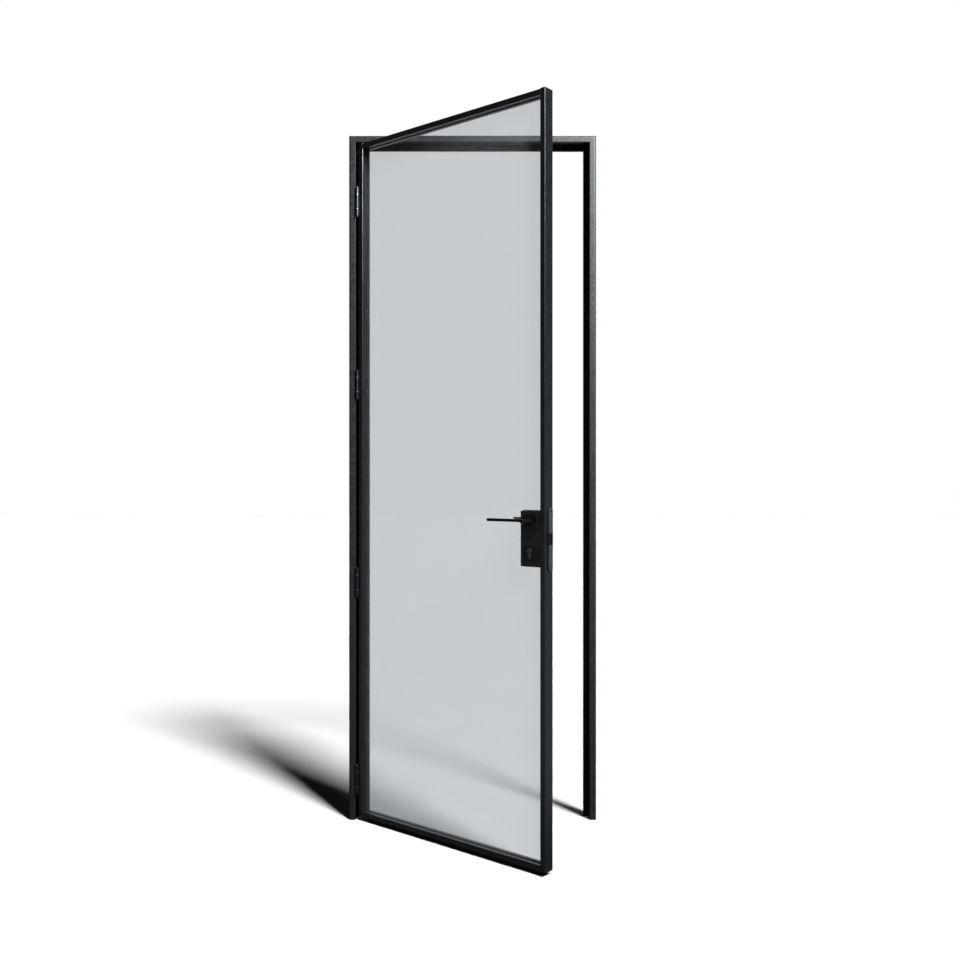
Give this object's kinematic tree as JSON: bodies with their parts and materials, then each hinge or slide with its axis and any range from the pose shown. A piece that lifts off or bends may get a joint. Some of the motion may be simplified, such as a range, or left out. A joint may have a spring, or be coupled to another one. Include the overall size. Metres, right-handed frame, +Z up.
{
  "type": "glazed swing door with frame",
  "caption": "Slim black metal swing door with a full glass pane, lever handle, side hinges and a floor-standing frame.",
  "frame": {"origin": "centre of the hinge jamb's foot, on the floor", "axes": "+X along the frame to the lock side, +Y from the opening side to the stop side, +Z up"},
  "size_m": [0.852, 0.5779, 2.358],
  "materials": {
    "frame_paint": "matt powder coat",
    "leaf_paint": "matt powder coat",
    "hardware_black": "satin",
    "black_plastic": "matt",
    "seal_rubber": "matt",
    "forend_metal": "satin",
    "plain_steel": "satin",
    "cleat_aluminium": "mill",
    "cylinder_metal": "blackened",
    "clear_glass": "clear"
  },
  "bodies": {
    "frame": {"hinge_jamb": "frame_paint", "lock_jamb": "frame_paint", "frame_head": "frame_paint", "hinge_stop": "frame_paint", "lock_stop": "frame_paint", "head_stop": "frame_paint", "stop_seals": "seal_rubber", "frame_cleats": "cleat_aluminium", "jamb_feet": "black_plastic", "strike_plate": "hardware_black", "strike_box": "hardware_black", "strike_magnet": "plain_steel", "strike_screws": "hardware_black", "fixing_caps": "black_plastic", "hinge_1_frame_half": "hardware_black", "hinge_2_frame_half": "hardware_black", "hinge_3_frame_half": "hardware_black", "hinge_4_frame_half": "hardware_black", "hinge_pins": "plain_steel", "hinge_washers": "plain_steel", "hinge_screws_frame": "hardware_black"},
    "leaf": {"hinge_stile": "leaf_paint", "lock_stile": "leaf_paint", "top_rail": "leaf_paint", "bottom_rail": "leaf_paint", "lock_box": "leaf_paint", "hinge_1_leaf_half": "hardware_black", "hinge_2_leaf_half": "hardware_black", "hinge_3_leaf_half": "hardware_black", "hinge_4_leaf_half": "hardware_black", "hinge_screws_leaf": "hardware_black", "rose_front_handle": "hardware_black", "rose_back_handle": "hardware_black", "rose_front_key": "hardware_black", "rose_back_key": "hardware_black", "forend_base": "black_plastic", "stile_caps": "black_plastic", "setting_blocks": "black_plastic", "rose_bases": "black_plastic", "gasket_front": "seal_rubber", "gasket_back": "seal_rubber", "lock_box_gasket": "seal_rubber", "forend": "forend_metal", "forend_screws": "forend_metal", "cylinder_screw": "forend_metal", "lock_case": "plain_steel", "lock_cover": "plain_steel", "return_spring": "plain_steel", "rose_screws": "plain_steel", "corner_cleats": "cleat_aluminium", "cylinder_body": "cylinder_metal", "glass_pane": "clear_glass"},
    "handle": {"lever_front": "hardware_black", "lever_back": "hardware_black", "spindle": "plain_steel", "follower": "plain_steel", "grub_screws": "plain_steel"},
    "latch": {"latch_bolt": "black_plastic"},
    "key": {"key_plug": "cylinder_metal"}
  },
  "joints": [
    {"name": "leaf_swing", "type": "hinge", "parent": "frame", "child": "leaf", "pos_m": [0.0175, -0.029, 0], "axis": [0, 0, -1], "range_deg": [-39.7, 130.3]},
    {"name": "handle_turn", "type": "hinge", "parent": "leaf", "child": "handle", "pos_m": [0.593, -0.50289, 1.046], "axis": [-0.6388, -0.7694, 0], "range_deg": [0, 40], "stiffness_Nm_per_rad": 1, "springref_deg": -11.46},
    {"name": "latch_slide", "type": "slide", "parent": "leaf", "child": "latch", "axis": [0.7694, -0.6388, 0], "range_m": [0, 0.009], "stiffness_N_per_m": 100},
    {"name": "key_turn", "type": "hinge", "parent": "leaf", "child": "key", "pos_m": [0.593, -0.50289, 0.96], "axis": [-0.6388, -0.7694, 0], "continuous": true}
  ]
}
